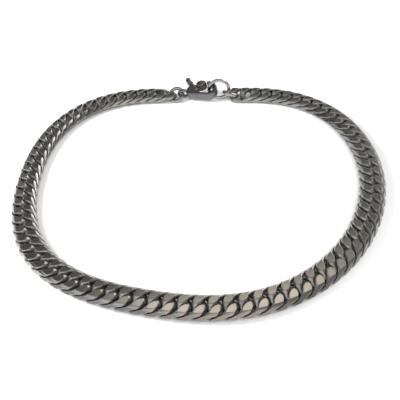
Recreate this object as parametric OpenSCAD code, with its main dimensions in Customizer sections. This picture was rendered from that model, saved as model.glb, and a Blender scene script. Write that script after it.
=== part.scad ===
// Double curb chain bracelet, a closed loop lying flat, with a lobster clasp.
// Every link is a closed loop of round wire, turned about the chain's line so that it
// lies flat, and cut level above, below and along both sides. Each one passes through
// the next two. X points right, Y points from the front of the loop towards the clasp,
// and Z is up from the surface that the bracelet lies on. All sizes are in mm.

/* [Chain] */
// Number of links
link_count = 78; // [60:2:90]
// Distance from one link to the next
pitch = 2.36; // [2.36:0.01:2.5]
// Width of the chain over its cut sides
chain_w = 4.8; // [4.7:0.05:5]
// Width of the flat cut on top
flat_w = 3.4; // [3.3:0.05:3.6]
// Thickness of the chain between its two flat cuts
chain_t = 2.1; // [2.1:0.05:2.3]
// Diameter of the link's wire
wire_d = 1.04; // [0.9:0.01:1.04]
// How deep the flat cuts go into the wire
top_cut = 0.29; // [0.27:0.01:0.31]

/* [Jump rings] */
// Diameter of the jump rings' wire
ring_wire = 0.8; // [0.6:0.05:0.8]
// Radius of the tail ring, to the middle of its wire
tail_ring_r = 1.6; // [1.6:0.05:1.7]
// Radius of the end ring, to the middle of its wire
end_ring_r = 1.6; // [1.6:0.05:2]
// Radius of the catch ring, to the middle of its wire
catch_ring_r = 2.25; // [2.2:0.05:2.5]

/* [Clasp] */
// Distance from the middle of the eye to the inner wall of the claw
clasp_len = 7.0; // [7:0.1:8]
// Thickness of the clasp
clasp_t = 2.2; // [2:0.1:2.4]
// Radius of the eye, to the middle of its wire
eye_r = 1.05; // [1.05:0.05:1.15]
// Height of the thumb tab's tip above the clasp's middle line
tab_reach = 3.9; // [3.4:0.1:4.2]
// How far the lever is open, in degrees
lever_open = 0; // [0:1:22]

/* [Hidden] */

// Clearance between pieces that hook into each other, and between two links end to end
slack = 0.12;
link_slack = 0.08;
// Height of the catch ring's lowest point above the surface
stand_off = 0.02;
steel = [0.52, 0.51, 0.49];
dark_steel = [0.42, 0.41, 0.40];

// Link
// Half of the link's length, height and width, to the middle of its wire
link_half = pitch + wire_d / 2 + link_slack;
link_rise = chain_t / 2 - wire_d / 2 + top_cut;
link_side = (chain_w - wire_d) / 2;
// A quarter of the link's middle line from its end to its side, as shares of those halves,
// and the wire's thickness there as a share of its diameter: [along, across, down, thick]
QUARTER = [
    [1.00, 0.00, 0.00, 1.00],
    [0.97, 0.23, 0.73, 1.02],
    [0.80, 0.57, 1.04, 1.09],
    [0.37, 0.94, 0.68, 0.85],
    [0.00, 1.07, 0.00, 0.77]
];
// The other three quarters are copies turned half a turn about Y, Z and X
TURNS = [[1, 1, 1], [-1, 1, -1], [-1, -1, 1], [1, -1, -1]];
spans = len(QUARTER) - 1;
rings = len(TURNS) * spans;
wire_sides = 6;

function quarter_row(i) = QUARTER[spans - abs(spans - i % (2 * spans))];
MIDLINE = [
    for (i = [0 : rings - 1])
        let (q = quarter_row(i), turn = TURNS[floor(i / spans)])
            [turn[0] * q[0] * link_half, turn[1] * q[1] * link_side, -turn[2] * q[2] * link_rise]
];

function unit(v) = v / norm(v);
function before(i) = unit(MIDLINE[i] - MIDLINE[(i + rings - 1) % rings]);
function after(i) = unit(MIDLINE[(i + 1) % rings] - MIDLINE[i]);
function heading(i) = unit(before(i) + after(i));

// Direction that faces out of the chain at a point of the middle line
function outward(p) = abs(p[1]) < 0.01
    ? [sign(p[0]), 0, 0]
    : [0, p[1] / pow(chain_w / 2, 2), p[2] / pow(chain_t / 2, 2)];
function square_to(v, t) = unit(v - t * (v * t));

// One point of the wire's section, stretched so that the wire keeps its width at a corner
function wire_point(i, j) =
    let (
        t = heading(i),
        u = square_to(outward(MIDLINE[i]), t),
        v = cross(t, u),
        a = 360 * j / wire_sides,
        r = quarter_row(i)[3] * wire_d / 2,
        o = (u * cos(a) + v * sin(a)) * r,
        bend = unit(before(i) - after(i)),
        stretch = 1 / sqrt((1 + before(i) * after(i)) / 2) - 1
    )
    MIDLINE[i] + o + bend * (o * bend) * stretch;

// The cut sides: their slope runs from the edge of the flat cut to the chain's widest line
side_cut = unit([chain_t / 2, (chain_w - flat_w) / 2]);
side_reach = side_cut[0] * chain_w / 2;
function level_cut(p) = [p[0], p[1], max(-chain_t / 2, min(chain_t / 2, p[2]))];
function slope_cut(p) =
    let (
        sy = p[1] < 0 ? -1 : 1,
        sz = p[2] < 0 ? -1 : 1,
        over = max(0, abs(p[1]) * side_cut[0] + abs(p[2]) * side_cut[1] - side_reach)
    )
    [p[0], p[1] - over * side_cut[0] * sy, p[2] - over * side_cut[1] * sz];

LINK_POINTS = [
    for (i = [0 : rings - 1]) for (j = [0 : wire_sides - 1]) level_cut(slope_cut(wire_point(i, j)))
];
function corner(i, j) = (i % rings) * wire_sides + j % wire_sides;
LINK_FACES = [
    for (i = [0 : rings - 1]) for (j = [0 : wire_sides - 1]) each [
        [corner(i, j), corner(i + 1, j + 1), corner(i, j + 1)],
        [corner(i, j), corner(i + 1, j), corner(i + 1, j + 1)]
    ]
];

// Loop
// Shape of the loop: its radius swells and shrinks round the turn by waves,
// [waves per turn, share at the right, share a quarter wave on]
WAVES = [
    [1, -0.017, 0.013],
    [2, 0.073, -0.035],
    [3, 0.013, 0.031],
    [4, -0.026, 0.019],
    [5, 0.003, -0.010]
];
// Direction of the clasp from the middle of the loop, in degrees from the right
clasp_at = 83;

// The hooked pieces between the two ends of the chain, measured along the closure
seat = wire_d / 2 + ring_wire / 2 + 1.5 * slack;
ring_gap = ring_wire + slack;
eye_wire = 0.7;
eye_gap = (ring_wire + eye_wire) / 2 + slack;
// The tail ring and the clasp rise towards the claw, and the end ring falls towards the chain
tail_rise = 12;
claw_rise = 7;
end_fall = 18;
tail_ring_u = tail_ring_r - seat;
tail_ring_z = chain_t / 2 + slack + tail_ring_u * tan(tail_rise);
eye_u = tail_ring_u + tail_ring_r * cos(tail_rise) - eye_gap + eye_r;
eye_z = tail_ring_z + tail_ring_r * sin(tail_rise);
claw_u = eye_u + clasp_len * cos(claw_rise);
claw_z = eye_z + clasp_len * sin(claw_rise);
// The catch ring stands on the surface, and the claw's wall rests low on the inside of it
catch_in = catch_ring_r - ring_wire / 2;
catch_ring_z = catch_ring_r + ring_wire / 2 + stand_off;
claw_wall = 0.9;
claw_low = claw_z - (clasp_t - claw_wall) / 2;
catch_ring_u = claw_u - 3 * slack + sqrt(pow(catch_in, 2) - pow(catch_ring_z - claw_low, 2));
end_ring_z = 1.5;
end_sink = catch_ring_z - end_ring_z - end_ring_r * sin(end_fall);
end_in = sqrt(pow(catch_ring_r - ring_gap - slack / 2, 2) - pow(end_sink, 2));
end_ring_u = catch_ring_u + end_in + end_ring_r * cos(end_fall);
closure_len = end_ring_u + end_ring_r * cos(end_fall) - seat;

chain_len = (link_count - 1) * pitch + 2 * link_half;
loop_len = chain_len + closure_len;
function wave_radius(t) = 1 + sum([for (w = WAVES) w[1] * cos(w[0] * t) + w[2] * sin(w[0] * t)]);
function sum(v, i = 0) = i < len(v) ? v[i] + sum(v, i + 1) : 0;
function loop_unit(t) = wave_radius(t) * [cos(t), sin(t)];
turn_step = 2;
STEPS = [for (t = [0 : turn_step : 360 - turn_step]) norm(loop_unit(t + turn_step) - loop_unit(t))];
loop_r = loop_len / sum(STEPS);
// Distance along the loop at each step, and the tables that find one from the other
DISTANCES = [for (i = 0, d = 0; i <= len(STEPS); d = d + loop_r * (i < len(STEPS) ? STEPS[i] : 0), i = i + 1) d];
TURN_BY_DISTANCE = [for (i = [0 : len(STEPS)]) [DISTANCES[i], i * turn_step]];
DISTANCE_BY_TURN = [for (i = [0 : len(STEPS)]) [i * turn_step, DISTANCES[i]]];
function wrap(s) = s - floor(s / loop_len) * loop_len;
function turn_at(s) = lookup(wrap(s), TURN_BY_DISTANCE);

// Moves the middle of the part's outline, thumb tab included, to the origin
middle_shift = [0.04, 0.02];
function loop_at(s) = loop_r * loop_unit(turn_at(s)) + middle_shift;
function loop_heading(s) =
    let (d = loop_at(s + 0.5) - loop_at(s - 0.5)) atan2(d[1], d[0]);

// Links are counted anticlockwise from the left end of the closure
chain_start = lookup(clasp_at, DISTANCE_BY_TURN) + closure_len / 2 + link_half;
function link_spot(k) = chain_start + k * pitch;
function turned(p, a) = [p[0] * cos(a) - p[1] * sin(a), p[0] * sin(a) + p[1] * cos(a), p[2]];
function place_of(k) = [each loop_at(link_spot(k)), chain_t / 2];
function placed(points, k) =
    let (a = loop_heading(link_spot(k)), c = place_of(k)) [for (p = points) c + turned(p, a)];

module links(first, last) {
    count = len(LINK_POINTS);
    points = [for (k = [first : last]) each placed(LINK_POINTS, k)];
    faces = [for (k = [0 : last - first]) for (f = LINK_FACES) f + [1, 1, 1] * k * count];
    polyhedron(points = points, faces = faces);
}

module chain_left() {
    color(steel) links(0, link_count / 2 - 1);
}

module chain_right() {
    color(steel) links(link_count / 2, link_count - 1);
}

// Closure
// Middle of the wire at the two ends of the chain
closure_from = placed([[-link_half, 0, 0]], 0)[0];
closure_to = placed([[link_half, 0, 0]], link_count - 1)[0];
closure_turn = atan2(closure_to[1] - closure_from[1], closure_to[0] - closure_from[0]);

// Places a piece along the closure: u from its left end, z above the surface
module along_closure(u, z) {
    translate([closure_from[0], closure_from[1], 0])
        rotate([0, 0, closure_turn])
            translate([u, 0, z])
                children();
}

module jump_ring(r) {
    rotate_extrude($fn = 64)
        translate([r, 0])
            circle(d = ring_wire, $fn = 32);
}

// The tail ring and the end ring lean as the end links' wire lets them
tail_lean = 29;
end_lean = -25;

module tail_ring() {
    color(steel)
        along_closure(tail_ring_u, tail_ring_z)
            rotate([tail_lean, -tail_rise, 0])
                jump_ring(tail_ring_r);
}

module end_ring() {
    color(steel)
        along_closure(end_ring_u, end_ring_z)
            rotate([end_lean, end_fall, 0])
                jump_ring(end_ring_r);
}

module catch_ring() {
    color(steel)
        along_closure(catch_ring_u, catch_ring_z)
            rotate([90, 0, 0])
                jump_ring(catch_ring_r);
}

// Clasp
// It is drawn flat, with the eye at the origin, the claw along X and the lever on the Y side
clasp_roll = 18;
claw_hole_r = 1.15;
claw_mid_r = claw_hole_r + claw_wall / 2;
claw_x = clasp_len - claw_hole_r;
claw_tip_turn = 100;
tail_x = 2.1;
tail_r = 1.3;
// Where the claw's back runs tangent to the tail and to the head
back_slope = asin((claw_mid_r + claw_wall / 2 - tail_r) / (claw_x - tail_x));
pin_at = [2.45, 0.35];
pin_r = 0.3;
pin_fit = 0.04;
press_fit = 0.01;
pin_inset = 0.05;
rim = 0.35;
hub_r = 0.72;
lever_t = 1.1;
slot_t = lever_t + 2 * slack;
nose_at = [claw_x - 1.25, 1.42];
nose_r = 0.4;
tab_at = [1.35, tab_reach - 0.5];
tab_r = 0.5;

module placed_clasp() {
    along_closure(eye_u, eye_z) rotate([0, -claw_rise, 0]) rotate([clasp_roll, 0, 0]) children();
}

// Section of the claw: a bar with round edges
module claw_section() {
    edge = claw_wall / 2;
    side = clasp_t / 2 - edge;
    translate([0, side]) circle(r = edge, $fn = 32);
    translate([0, -side]) circle(r = edge, $fn = 32);
    square([claw_wall, 2 * side], center = true);
}

module claw_arc(from, to) {
    translate([claw_x, 0, 0])
        rotate([0, 0, from])
            rotate_extrude(angle = to - from, $fn = 64)
                translate([claw_mid_r, 0])
                    claw_section();
}

// Disc with a rounded rim
module round_disc(r, t, rim) {
    rotate_extrude($fn = 64) {
        square([r - rim, t / 2]);
        mirror([0, 1]) square([r - rim, t / 2]);
        square([r, t / 2 - rim]);
        mirror([0, 1]) square([r, t / 2 - rim]);
        translate([r - rim, t / 2 - rim]) intersection() {
            circle(r = rim, $fn = 32);
            square(rim);
        }
        translate([r - rim, rim - t / 2]) intersection() {
            circle(r = rim, $fn = 32);
            mirror([0, 1]) square(rim);
        }
    }
}

// Flat bar between two round ends
module link_bar(a, ra, b, rb, t) {
    d = b - a;
    lean = atan2(d[1], d[0]);
    spread = acos((ra - rb) / norm(d));
    translate([0, 0, -t / 2]) linear_extrude(t) {
        translate(a) circle(r = ra, $fn = 48);
        translate(b) circle(r = rb, $fn = 48);
        polygon([
            a + ra * [cos(lean + spread), sin(lean + spread)],
            a + ra * [cos(lean - spread), sin(lean - spread)],
            b + rb * [cos(lean - spread), sin(lean - spread)],
            b + rb * [cos(lean + spread), sin(lean + spread)]
        ]);
    }
}

module claw_back() {
    run = (claw_x - tail_x) * cos(back_slope);
    translate([claw_x, 0, 0])
        rotate([0, 0, -back_slope])
            translate([0, -claw_mid_r, 0])
                rotate([0, -90, 0])
                    linear_extrude(run)
                        rotate(90)
                            claw_section();
}

module clasp_body() {
    color(dark_steel) placed_clasp() {
        rotate([90, 0, 0])
            rotate_extrude($fn = 64)
                translate([eye_r, 0])
                    circle(d = eye_wire, $fn = 32);
        difference() {
            union() {
                translate([tail_x, 0, 0]) round_disc(tail_r, clasp_t, rim);
                claw_back();
                claw_arc(-90 - back_slope, claw_tip_turn);
            }
            translate([tail_x - tail_r - slack, pin_at[1] - hub_r - slack, -slot_t / 2])
                cube([2 * (tail_r + slack), 2 * tail_r, slot_t]);
            translate([pin_at[0], pin_at[1], -clasp_t])
                cylinder(r = pin_r + press_fit, h = 2 * clasp_t, $fn = 48);
        }
    }
}

module clasp_lever() {
    color(steel) placed_clasp()
        translate([pin_at[0], pin_at[1], 0])
            rotate([0, 0, lever_open])
                difference() {
                    union() {
                        link_bar([0, 0], hub_r, nose_at - pin_at, nose_r, lever_t);
                        link_bar([0, 0], hub_r, tab_at - pin_at, tab_r, lever_t);
                    }
                    translate([0, 0, -clasp_t]) cylinder(r = pin_r + pin_fit, h = 2 * clasp_t, $fn = 48);
                }
}

module clasp_pin() {
    color(dark_steel) placed_clasp()
        translate([pin_at[0], pin_at[1], pin_inset - clasp_t / 2])
            cylinder(r = pin_r, h = clasp_t - 2 * pin_inset, $fn = 48);
}

chain_left();
chain_right();
tail_ring();
end_ring();
catch_ring();
clasp_body();
clasp_lever();
clasp_pin();
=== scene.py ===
# %% [markdown]
# # A double curb chain bracelet
# The bracelet is a loop of steel links with a lobster clasp at its far side. The solid model
# gives every piece its place and size. This lesson dresses it: links bent from round wire and
# cut flat, polished rings, a sculpted clasp lever, and a white table under soft light.

# %% Load the solid model
import math

import bpy
from mathutils import Matrix, Vector


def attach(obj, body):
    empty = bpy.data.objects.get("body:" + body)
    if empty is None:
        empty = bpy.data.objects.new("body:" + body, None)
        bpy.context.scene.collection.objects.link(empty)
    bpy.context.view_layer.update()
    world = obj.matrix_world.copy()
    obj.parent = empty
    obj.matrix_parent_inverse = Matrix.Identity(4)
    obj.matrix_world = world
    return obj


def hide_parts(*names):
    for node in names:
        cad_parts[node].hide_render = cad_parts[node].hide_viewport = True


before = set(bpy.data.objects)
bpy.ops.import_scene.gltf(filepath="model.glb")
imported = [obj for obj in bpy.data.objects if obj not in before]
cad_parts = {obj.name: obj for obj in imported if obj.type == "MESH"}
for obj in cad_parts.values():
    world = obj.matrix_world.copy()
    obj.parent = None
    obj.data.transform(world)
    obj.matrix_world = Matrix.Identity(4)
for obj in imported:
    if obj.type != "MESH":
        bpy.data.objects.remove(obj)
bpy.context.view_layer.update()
MM = 0.001

# %% [markdown]
# ## Helpers
# Blender's operators act on what is selected, so each step starts from an empty selection.
# A small class wraps a shader socket and overloads the arithmetic operators, so that a mask
# can be written as one line of Python and still end up as nodes that can be read and changed.
# The nodes could be added one by one instead, but the sums would then be hard to follow.

# %% Selection helpers
def pick(*objects):
    """Select only these objects and make the last one active."""
    bpy.ops.object.select_all(action="DESELECT")
    for o in objects:
        o.select_set(True)
        bpy.context.view_layer.objects.active = o


def edit(o, what="VERT"):
    """Open one object in edit mode with nothing selected."""
    pick(o)
    bpy.ops.object.mode_set(mode="EDIT")
    bpy.ops.mesh.select_mode(type=what)
    bpy.ops.mesh.select_all(action="DESELECT")


def done():
    bpy.ops.object.mode_set(mode="OBJECT")


def select_all():
    bpy.ops.mesh.select_all(action="SELECT")


# %% Shader sockets as numbers
class Sock:
    """One output socket of a node tree, used as a number in Python."""

    def __init__(self, tree, out):
        self.tree = tree
        self.out = out

    @classmethod
    def node(cls, tree, kind, settings=None, sockets=None, out=0):
        """Add a node: its settings first, then the values or links of its sockets."""
        n = tree.nodes.new(kind)
        for name, value in (settings or {}).items():
            setattr(n, name, value)
        for name, value in (sockets or {}).items():
            feed(tree, n.inputs[name], value)
        return cls(tree, n.outputs[out])

    def math(self, a, b, **settings):
        return self.node(self.tree, "ShaderNodeMath", settings, {0: a, 1: b})

    def __add__(self, other):
        return self.math(self, other, operation="ADD")

    def __radd__(self, other):
        return self.math(other, self, operation="ADD")

    def __mul__(self, other):
        return self.math(self, other, operation="MULTIPLY")

    def __rmul__(self, other):
        return self.math(other, self, operation="MULTIPLY")

    def clamp(self):
        return self.math(self, 0.0, operation="ADD", use_clamp=True)

    def ramp(self, low, high):
        """0 below low, 1 above high, and smooth between."""
        smooth = {"interpolation_type": "SMOOTHSTEP"}
        ends = {"Value": self, "From Min": low, "From Max": high}
        return self.node(self.tree, "ShaderNodeMapRange", smooth, ends)


def feed(tree, socket, value):
    """Link a Sock to a node's socket, or set the socket to a value."""
    if isinstance(value, Sock):
        tree.links.new(value.out, socket)
    else:
        socket.default_value = value


# Places of the colour sockets on a Mix node, which has a pair of them for each kind of data
MIX_FACTOR, MIX_A, MIX_B, MIX_RESULT = 0, 6, 7, 2


def mix(tree, factor, a, b):
    """Colour a where factor is 0, colour b where it is 1."""
    a, b = [(*v, 1.0) if isinstance(v, tuple) else v for v in (a, b)]
    sockets = {MIX_FACTOR: factor, MIX_A: a, MIX_B: b}
    return Sock.node(tree, "ShaderNodeMix", {"data_type": "RGBA"}, sockets, MIX_RESULT)


# %% [markdown]
# ## Camera
# The photo was taken from close by, looking down at about 45 degrees from the front and tilted
# a few degrees. The camera could come last, but every later choice is judged through it, so it
# comes first.


# %% Camera
def look_at(o, spot, target, roll=0.0):
    """Put an object at a spot in mm and point it at a target, turned by roll degrees."""
    o.location = Vector(spot) * MM
    turn = (Vector(target) - Vector(spot)).to_track_quat("-Z", "Y")
    o.rotation_euler = (turn.to_matrix() @ Matrix.Rotation(math.radians(roll), 3, "Z")).to_euler()


cam_data = bpy.data.cameras.new("camera")
cam_data.lens = 45.63
cam_data.sensor_width = 36.0
cam_data.clip_start = 0.005
camera = bpy.data.objects.new("camera", cam_data)
bpy.context.scene.collection.objects.link(camera)
CAMERA_SPOT, CAMERA_TARGET, CAMERA_ROLL = (0.25, -71.6, 67.5), (0.25, -5.2, 0.0), -5.77
look_at(camera, CAMERA_SPOT, CAMERA_TARGET, CAMERA_ROLL)
bpy.context.scene.camera = camera
print("camera at", [round(v, 4) for v in camera.location])

# %% [markdown]
# ## Metals
# There are six steels. The flats on top of the links are the brightest. The cuts that slope down
# to their sides are duller and darker, and their darker colour is painted shade. The round of the
# wire between them is darker still: partly the dark film that polishing doesn't reach, partly
# painted shade for the gaps between the links. The rings, the clasp and its lever have a steel each. One
# steel could
# do for all, but then the links would run together. Smudges change the colour and the roughness,
# and a fine grain roughens and dents the surface, as on real steel.


# %% Steel
# Noise scales are in waves per metre, because the pieces are modelled in metres
SMUDGE_SCALE, SMUDGE_DETAIL = 260.0, 4.0
GRAIN_SCALE, GRAIN_DETAIL = 9000.0, 2.0
# The smudge noise where a smudge starts and where it is full
SMUDGE_START, SMUDGE_FULL = 0.35, 0.7
# How far a full smudge takes the colour to the dark one, and how much the grain roughens
SMUDGE_TINT, GRAIN_ROUGH = 0.5, 0.05
DENT_DEPTH = 0.00002


def metal(name, base, dark, rough, wear=0.10, film=0.0, grain=GRAIN_SCALE, dents=0.10):
    """Steel that goes from its base colour to the dark one where it is smudged."""
    m = bpy.data.materials.new(name)
    m.use_nodes = True
    t = m.node_tree
    shader = t.nodes["Principled BSDF"].inputs
    place = Sock.node(t, "ShaderNodeTexCoord", out="Object")
    smudge_noise = {"Vector": place, "Scale": SMUDGE_SCALE, "Detail": SMUDGE_DETAIL}
    grain_noise = {"Vector": place, "Scale": grain, "Detail": GRAIN_DETAIL}
    smudge = Sock.node(t, "ShaderNodeTexNoise", sockets=smudge_noise)
    fine = Sock.node(t, "ShaderNodeTexNoise", sockets=grain_noise)
    worn = smudge.ramp(SMUDGE_START, SMUDGE_FULL)
    dent = {"Strength": dents, "Distance": DENT_DEPTH, "Height": fine}
    feed(t, shader["Base Color"], mix(t, (worn * SMUDGE_TINT + film).clamp(), base, dark))
    feed(t, shader["Roughness"], (rough + worn * wear + fine * GRAIN_ROUGH).clamp())
    feed(t, shader["Normal"], Sock.node(t, "ShaderNodeBump", sockets=dent))
    feed(t, shader["Metallic"], 1.0)
    return m


# Each steel: its name, base colour, dark colour and roughness, and what differs from the usual
flat_steel = metal("flat_steel", (0.60, 0.585, 0.555), (0.44, 0.425, 0.40), 0.13, wear=0.05, dents=0.05)
# The side cuts' steel is the flats' steel made darker, and that darkness is painted shade
shaded_side_steel = metal("shaded_side_steel", (0.32, 0.31, 0.295), (0.25, 0.24, 0.23), 0.17, wear=0.05)
# The wire's dark colour is partly a dark film and partly painted shade for the gaps between the links
wire_film_and_shade = metal("wire_film_and_shade", (0.37, 0.352, 0.322), (0.22, 0.208, 0.188), 0.32)
ring_steel = metal("ring_steel", (0.42, 0.41, 0.39), (0.24, 0.232, 0.22), 0.14)
# The clasp's very dark base colour is painted shade for its body, which lies in shade
clasp_steel = metal("clasp_steel", (0.17, 0.165, 0.175), (0.05, 0.048, 0.052), 0.18, film=-0.1)
lever_steel = metal("lever_steel", (0.24, 0.222, 0.20), (0.08, 0.073, 0.066), 0.22, grain=1700.0, dents=1.0)
steels = (flat_steel, shaded_side_steel, wire_film_and_shade, ring_steel, clasp_steel, lever_steel)
print("metals", [m.name for m in steels])

# %% [markdown]
# ## One link
# A real link is a piece of wire bent round, twisted until it lies flat, and ground flat with
# its neighbours. The same order works here: a closed curve is the wire's middle line, a round
# bevel gives it body, and twelve bisecting planes are the grinding wheel. A link could be cut
# by a boolean instead, but a plane leaves exact flat faces and says which finish each one has.
# Only a quarter of the line is drawn, because the other three are the same quarter turned half
# a turn about Y, X and Z.

# %% The link's wire
PITCH = 2.36
CHAIN_W, CHAIN_T = 4.77, 2.1
# Width of the worn edge round each flat
RIM = 0.035
# x, y, z and wire radius, from the link's end over the top to its side
QUARTER = [
    (2.94, 0.00, 0.00, 0.66),
    (2.86, -0.42, 0.38, 0.72),
    (2.60, -0.84, 0.54, 0.77),
    (2.26, -1.20, 0.52, 0.76),
    (1.72, -1.51, 0.45, 0.54),
    (0.96, -1.88, 0.32, 0.36),
    (0.00, -2.21, 0.00, 0.37),
]
back = [(-x, y, -z, r) for x, y, z, r in QUARTER[-2::-1]]
half = QUARTER + back
line = half + [(-x, -y, z, r) for x, y, z, r in half[1:-1]]
print("points round the link", len(line))


def make_link():
    """One link of round wire, closed and not yet ground."""
    bpy.ops.curve.primitive_bezier_circle_add(radius=MM)
    o = bpy.context.object
    bpy.ops.object.mode_set(mode="EDIT")
    bpy.ops.curve.subdivide(number_cuts=len(line) // 4 - 1)
    bpy.ops.curve.handle_type_set(type="AUTOMATIC")
    bpy.ops.object.mode_set(mode="OBJECT")
    for p, (x, y, z, r) in zip(o.data.splines[0].bezier_points, line):
        p.handle_left_type = p.handle_right_type = "AUTO"
        p.co = (x * MM, y * MM, z * MM)
        p.radius = r
    o.data.dimensions = "3D"
    o.data.bevel_depth = MM
    o.data.bevel_resolution = 4
    o.data.resolution_u = 4
    o.data.use_fill_caps = False
    pick(o)
    bpy.ops.object.convert(target="MESH")
    return bpy.context.object


link = make_link()
link.name = "link"
print("link", len(link.data.vertices), "points", len(link.data.polygons), "faces")

# %% Grind the link flat
half_t, half_w = CHAIN_T / 2, CHAIN_W / 2
# Points of the chain's section where one ground face meets the next: out, up
EDGES = [(0.0, half_t), (1.51, 0.971), (1.90, 0.675), (half_w, 0.0)]
PROFILE = []
for (ay, az), (by, bz) in zip(EDGES, EDGES[1:]):
    n = Vector((az - bz, by - ay)).normalized()
    PROFILE.append((n.x, n.y, n.dot(Vector((ay, az)))))
# The link's finishes, in the order of its materials
WIRE, FLAT, SIDE = 0, 1, 2
# Each cut: the plane's normal, its distance from the middle, and the finish it leaves
CUTS = [
    (Vector((0, sy * y, sz * z)), reach * MM, finish)
    for (y, z, reach), finish in zip(PROFILE, (FLAT, SIDE, SIDE))
    for sy in (-1, 1)
    for sz in (-1, 1)
]
# A face counts as ground if the cosine between it and the cut is over the first number and its
# middle is nearer to the cut than the second, in metres
SAME_WAY, ON_PLANE = 0.999, 2e-6
# Points nearer to a cut than this, in metres, are taken as lying on it
CUT_THRESHOLD = 1e-7
RIM_STEPS = 2
SMOOTH_ANGLE = math.radians(35)


def cut_flat(o):
    """Cut the wire at each plane and close the cut."""
    edit(o)
    for n, reach, _ in CUTS:
        select_all()
        bpy.ops.mesh.bisect(
            plane_co=n * reach,
            plane_no=n,
            use_fill=True,
            clear_outer=True,
            threshold=CUT_THRESHOLD,
        )
    select_all()
    bpy.ops.mesh.normals_make_consistent(inside=False)
    done()


def wear_rims(o):
    """Round the edges where one ground face meets another or the wire."""
    edges = {}
    for f in o.data.polygons:
        for key in f.edge_keys:
            edges.setdefault(key, set()).add(f.index if f.material_index != WIRE else -1)
    edit(o, "EDGE")
    done()
    for e in o.data.edges:
        e.select = len(edges[e.key]) > 1
    bpy.ops.object.mode_set(mode="EDIT")
    bpy.ops.mesh.bevel(offset=RIM * MM, segments=RIM_STEPS, material=SIDE)
    done()


def grind(o):
    # The wire's and the sides' steels carry painted shade: darker between the links and on the side cuts
    for m in (wire_film_and_shade, flat_steel, shaded_side_steel):
        o.data.materials.append(m)
    cut_flat(o)
    for f in o.data.polygons:
        for n, reach, finish in CUTS:
            if n.dot(f.normal) > SAME_WAY and abs(n.dot(f.center) - reach) < ON_PLANE:
                f.material_index = finish
    wear_rims(o)
    # A rim may stand a little proud of a cut, so each point is brought back to it
    for v in o.data.vertices:
        for n, reach, _ in CUTS:
            v.co -= n * max(0.0, v.co.dot(n) - reach)
    pick(o)
    bpy.ops.object.shade_smooth_by_angle(angle=SMOOTH_ANGLE)


grind(link)
ground = sum(f.material_index != WIRE for f in link.data.polygons)
print("ground link", len(link.data.polygons), "faces", ground, "ground")
print("its box in mm", [round(v / MM, 3) for v in link.dimensions])

# %% [markdown]
# ## The chain along the loop
# The loop is a slightly lopsided round: waves on a circle give its radius, as in the solid
# model. Array repeats the link at the chain's pitch, and Curve bends the row along the loop,
# so that the links close up on the inside of a turn and open on the outside. Each link could
# be placed and turned by itself, but then none would bend with the loop.

# %% The loop's line
WAVES = [
    (1, -0.017, 0.013),
    (2, 0.073, -0.035),
    (3, 0.013, 0.031),
    (4, -0.026, 0.019),
    (5, 0.003, -0.010),
]
LINKS, LINK_HALF = 78, 2.96
# Length of the clasp and its rings along the loop in mm, and the angle of their middle
CLOSURE, CLASP_AT = 13.49, 83
SHIFT = Vector((0.04, 0.02))
# How far before the first link the bending line starts
LEAD = 6.0
STEPS = 1440


def loop_shape(t):
    r = 1 + sum(a * math.cos(n * t) + b * math.sin(n * t) for n, a, b in WAVES)
    return Vector((r * math.cos(t), r * math.sin(t)))


shape = [loop_shape(2 * math.pi * i / STEPS) for i in range(STEPS + 1)]
loop_len = (LINKS - 1) * PITCH + 2 * LINK_HALF + CLOSURE
loop_r = loop_len / sum((b - a).length for a, b in zip(shape, shape[1:]))
ring = [p * loop_r + SHIFT for p in shape]
along = [0.0]
for a, b in zip(ring, ring[1:]):
    along.append(along[-1] + (b - a).length)
start = along[STEPS * CLASP_AT // 360] + CLOSURE / 2 + LINK_HALF
print("loop length", round(loop_len, 2), "mm, radius", round(loop_r, 3), "first link at", round(start, 3))

# %% The loop as a curve
first = next(i for i, d in enumerate(along) if d > start - LEAD) - 1
share = (start - LEAD - along[first]) / (along[first + 1] - along[first])
path = [ring[first].lerp(ring[first + 1], share)]
path += [ring[(first + 1 + i) % STEPS] for i in range(STEPS)]
data = bpy.data.curves.new("loop_line", "CURVE")
data.dimensions = "3D"
data.use_deform_bounds = False
spline = data.splines.new("POLY")
spline.points.add(len(path) - 1)
for p, v in zip(spline.points, path):
    p.co = (v.x * MM, v.y * MM, CHAIN_T / 2 * MM, 1.0)
loop_line = bpy.data.objects.new("loop_line", data)
bpy.context.scene.collection.objects.link(loop_line)
print("loop line", len(path), "points")


# %% Two halves of the chain
def chain(name, first_link, count):
    """A row of links bent along the loop, with a mesh of its own."""
    o = link.copy()
    o.data = link.data.copy()
    o.name = name
    bpy.context.scene.collection.objects.link(o)
    pick(o)
    o.data.transform(Matrix.Translation(((LEAD + first_link * PITCH) * MM, 0, 0)))
    row = o.modifiers.new("row", "ARRAY")
    row.count = count
    row.use_relative_offset = False
    row.use_constant_offset = True
    row.constant_offset_displace = (PITCH * MM, 0, 0)
    bend = o.modifiers.new("bend", "CURVE")
    bend.object = loop_line
    bend.deform_axis = "POS_X"
    bpy.ops.object.modifier_apply(modifier="row")
    bpy.ops.object.modifier_apply(modifier="bend")
    o.modifiers.new("crisp", "WEIGHTED_NORMAL")
    bpy.ops.object.modifier_apply(modifier="crisp")
    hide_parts(name.replace("_links", ""))
    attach(o, "bracelet")
    print(name, len(o.data.polygons), "faces")


chain("chain_left_links", 0, LINKS // 2)
chain("chain_right_links", LINKS // 2, LINKS // 2)
bpy.data.objects.remove(link)
bpy.data.objects.remove(loop_line)

# %% [markdown]
# ## The clasp's lever
# The lever closes the claw's mouth and is pulled back by its thumb tab. The solid model's lever
# is two flat bars. Here it is sculpted: a plate between the clasp's cheeks, with a thick hump
# over the claw's mouth and a thick thumb tab. It could be one thick outline, but only the plate
# fits between the cheeks. The hump's nose is cut back below, so that the open mouth is wider
# than the ring's wire. The outlines are drawn in the clasp's own flat frame, and the finished
# lever is laid into the clasp's place.

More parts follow.
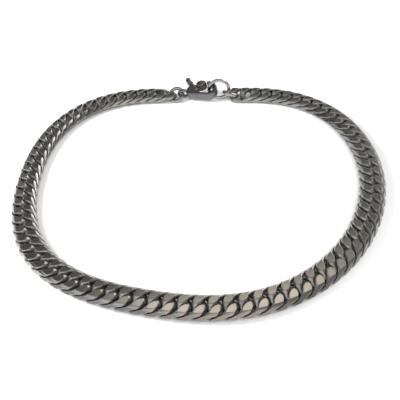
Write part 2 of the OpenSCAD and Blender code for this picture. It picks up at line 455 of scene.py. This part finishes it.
# %% The clasp's frame
CLOSURE_FROM, CLOSURE_TURN = (-3.24464, 28.3833), -9.16781
EYE_U, EYE_Z, CLAW_RISE, CLASP_ROLL = 2.24504, 1.60894, 7, 18
PIN = Vector((2.45, 0.35))


def turn(angle, axis):
    return Matrix.Rotation(math.radians(angle), 4, axis)


clasp_place = (
    Matrix.Translation((CLOSURE_FROM[0] * MM, CLOSURE_FROM[1] * MM, 0))
    @ turn(CLOSURE_TURN, "Z")
    @ Matrix.Translation((EYE_U * MM, 0, EYE_Z * MM))
    @ turn(-CLAW_RISE, "Y")
    @ turn(CLASP_ROLL, "X")
)
print("clasp's eye at", [round(v / MM, 3) for v in clasp_place.translation])

# %% The lever
# Outlines, anticlockwise: the plate between the cheeks, the thick hump and the thick thumb tab
PLATE = [
    (2.15, -0.35), (2.75, -0.28), (3.70, 0.35), (3.70, 1.60), (3.05, 1.60), (2.45, 1.95),
    (2.10, 2.90), (1.05, 2.90), (1.60, 1.10), (1.74, 0.20),
]
HUMP = [
    (3.32, 0.84), (3.95, 0.78), (4.55, 0.98), (5.02, 1.14), (5.42, 1.60), (5.34, 2.06),
    (4.90, 2.36), (4.20, 2.50), (3.50, 2.30), (3.05, 1.80), (3.05, 1.20),
]
TAB = [
    (1.10, 2.30), (2.20, 2.35), (1.82, 2.85), (1.58, 3.30), (1.66, 3.66), (1.42, 3.92),
    (0.92, 3.92), (0.52, 3.62), (0.48, 3.10),
]
# Thickness of each in mm, and how far its edges are rounded
PLATE_T, PLATE_ROUND = 1.1, 0.12
HUMP_T, HUMP_ROUND = 2.0, 0.32
TAB_T, TAB_ROUND = 1.5, 0.3
ROUND_STEPS = 4
# Points nearer to each other than this, in metres, are one point
SAME_POINT = 2e-6


def clean(o):
    """Merge points that lie on each other and drop the faces without area between them."""
    edit(o)
    select_all()
    bpy.ops.mesh.remove_doubles(threshold=SAME_POINT)
    bpy.ops.mesh.dissolve_degenerate(threshold=SAME_POINT)
    done()


def plate(outline, thickness, roundness):
    """A flat plate with round edges, drawn from its outline."""
    bpy.ops.mesh.primitive_circle_add(vertices=len(outline), radius=MM, fill_type="NGON")
    o = bpy.context.object
    for v, (x, y) in zip(o.data.vertices, outline):
        v.co = (x * MM, y * MM, 0)
    edit(o, "FACE")
    select_all()
    bpy.ops.mesh.normals_make_consistent(inside=False)
    done()
    thick = o.modifiers.new("thick", "SOLIDIFY")
    thick.thickness, thick.offset = thickness * MM, 0
    soft = o.modifiers.new("soft", "BEVEL")
    soft.width, soft.segments = roundness * MM, ROUND_STEPS
    bpy.ops.object.modifier_apply(modifier="thick")
    bpy.ops.object.modifier_apply(modifier="soft")
    clean(o)
    return o


lever = plate(PLATE, PLATE_T, PLATE_ROUND)
lever.name = "lever"
hump = plate(HUMP, HUMP_T, HUMP_ROUND)
tab = plate(TAB, TAB_T, TAB_ROUND)
print("lever's plate", len(lever.data.polygons), "faces, hump", len(hump.data.polygons), "faces")

# %% Drill the lever for its pin
# The bore is as in the solid model, 0.04 mm wider than the pin all round
BORE_R, DRILL_LENGTH, BORE_SIDES = 0.34, 3, 48
bpy.ops.mesh.primitive_cylinder_add(
    vertices=BORE_SIDES,
    radius=BORE_R * MM,
    depth=DRILL_LENGTH * MM,
    location=(PIN.x * MM, PIN.y * MM, 0),
)
drill = bpy.context.object
pick(lever)
hole = lever.modifiers.new("hole", "BOOLEAN")
hole.object, hole.operation = drill, "DIFFERENCE"
bpy.ops.object.modifier_apply(modifier="hole")
clean(lever)
bpy.data.objects.remove(drill)
pick(hump, tab, lever)
bpy.ops.object.join()
lever.data.transform(clasp_place)
lever.data.materials.clear()
lever.data.materials.append(lever_steel)
pick(lever)
bpy.ops.object.shade_smooth_by_angle(angle=SMOOTH_ANGLE)
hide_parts("clasp_lever")
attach(lever, "lever")
print("lever", len(lever.data.polygons), "faces")

# %% [markdown]
# ## Rings and clasp body
# The jump rings are rounds of polished wire, and the clasp's body is cast in one with its eye.
# They and the pin could be modelled again, but the solid model's shapes are exact, so they need
# nothing but their steel.

# %% Finishes of the solid model's own pieces
for node, m in {
    "tail_ring": ring_steel,
    "end_ring": ring_steel,
    "catch_ring": ring_steel,
    "clasp_body": clasp_steel,
    "clasp_pin": clasp_steel,
}.items():
    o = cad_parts[node]
    o.data.materials.clear()
    o.data.materials.append(m)
    print(node, "in", m.name)

# %% [markdown]
# ## Table and light
# The photo's table is plain white and almost without shadow. The steel mirrors the room: grey all
# over, dark at the back, bright in front, and with small windows at both sides. That is what
# gives the links their contrast. Lamps could do it too, but a patch of the room can be put just
# where one row of facets looks.

# %% Table
TABLE_SIZE, PAPER_GREY = 3.0, 0.77
bpy.ops.mesh.primitive_plane_add(size=TABLE_SIZE, location=(0, 0, 0))
table = bpy.context.object
table.name = "table"
paper = bpy.data.materials.new("paper")
paper.use_nodes = True
paper_shader = paper.node_tree.nodes["Principled BSDF"]
paper_shader.inputs["Base Color"].default_value = (PAPER_GREY, PAPER_GREY, PAPER_GREY, 1)
paper_shader.inputs["Roughness"].default_value = 0.9
paper_shader.inputs["Specular IOR Level"].default_value = 0.1
table.data.materials.append(paper)
print("table", TABLE_SIZE, "m wide")

# %% The room that the steel mirrors
ROOM_GREY = (0.335, 0.335, 0.33)
# Each patch: its direction, the cosines where it starts and where it is full, and its colour.
# A later patch covers an earlier one.
ROOM = [
    ((0.0, 0.92, 0.38), 0.55, 0.85, (0.100, 0.105, 0.110)),
    ((-0.75, 0.60, 0.50), 0.75, 0.93, (0.080, 0.085, 0.082)),
    ((0.75, 0.60, 0.50), 0.75, 0.93, (0.095, 0.100, 0.095)),
    ((0.06, 0.42, 0.90), 0.945, 0.985, (1.02, 0.94, 0.82)),
    ((0.0, -0.97, 0.22), 0.80, 0.95, (1.02, 0.91, 0.83)),
    ((0.0, -0.80, 0.60), 0.90, 0.97, (1.55, 1.57, 1.58)),
    ((0.0, -0.66, 0.75), 0.972, 0.990, (1.02, 0.91, 0.80)),
    ((0.69, 0.69, 0.14), 0.95, 0.985, (0.95, 0.95, 0.93)),
    ((0.66, 0.18, 0.73), 0.970, 0.990, (3.0, 3.0, 3.0)),
    ((0.68, 0.44, 0.58), 0.972, 0.990, (3.2, 3.2, 3.2)),
    ((0.62, 0.68, 0.39), 0.972, 0.990, (3.8, 3.8, 3.8)),
    ((0.51, 0.82, 0.25), 0.980, 0.993, (3.6, 3.6, 3.6)),
    ((0.35, 0.92, 0.16), 0.980, 0.993, (3.0, 3.0, 3.0)),
    ((-0.70, 0.69, 0.15), 0.86, 0.96, (1.30, 1.40, 1.58)),
    ((-0.57, 0.71, 0.41), 0.972, 0.991, (0.85, 0.91, 1.00)),
    ((-0.68, -0.50, 0.54), 0.86, 0.95, (1.20, 1.27, 1.42)),
]
world = bpy.data.worlds.new("room")
bpy.context.scene.world = world
world.use_nodes = True
room_tree = world.node_tree
way = Sock.node(room_tree, "ShaderNodeTexCoord", out="Generated")
room = ROOM_GREY
for spot, edge, full, colour in ROOM:
    both = {0: way, 1: Vector(spot).normalized()}
    dot = {"operation": "DOT_PRODUCT"}
    facing = Sock.node(room_tree, "ShaderNodeVectorMath", dot, both, "Value")
    room = mix(room_tree, facing.ramp(edge, full), room, colour)
feed(room_tree, room_tree.nodes["Background"].inputs["Color"], room)
print("room", len(ROOM), "patches")


# %% Lamps
def lamp(name, spot, size, power, colour, target):
    """A soft square lamp that lights the table and doesn't show in the steel."""
    light = bpy.data.lights.new(name, "AREA")
    light.shape = "RECTANGLE"
    light.size = light.size_y = size * MM
    light.energy = power
    light.color = colour
    o = bpy.data.objects.new(name, light)
    bpy.context.scene.collection.objects.link(o)
    look_at(o, spot, target)
    o.visible_glossy = False


WARM_WHITE, COOL_WHITE = (1.0, 0.99, 0.97), (0.97, 0.985, 1.0)
lamp("window", spot=(-130, 10, 95), size=70, power=0.42, colour=WARM_WHITE, target=(-30, 0, 0))
lamp("ceiling", spot=(60, -130, 170), size=140, power=0.34, colour=COOL_WHITE, target=(30, 0, 0))
bpy.context.scene.view_settings.view_transform = "Standard"
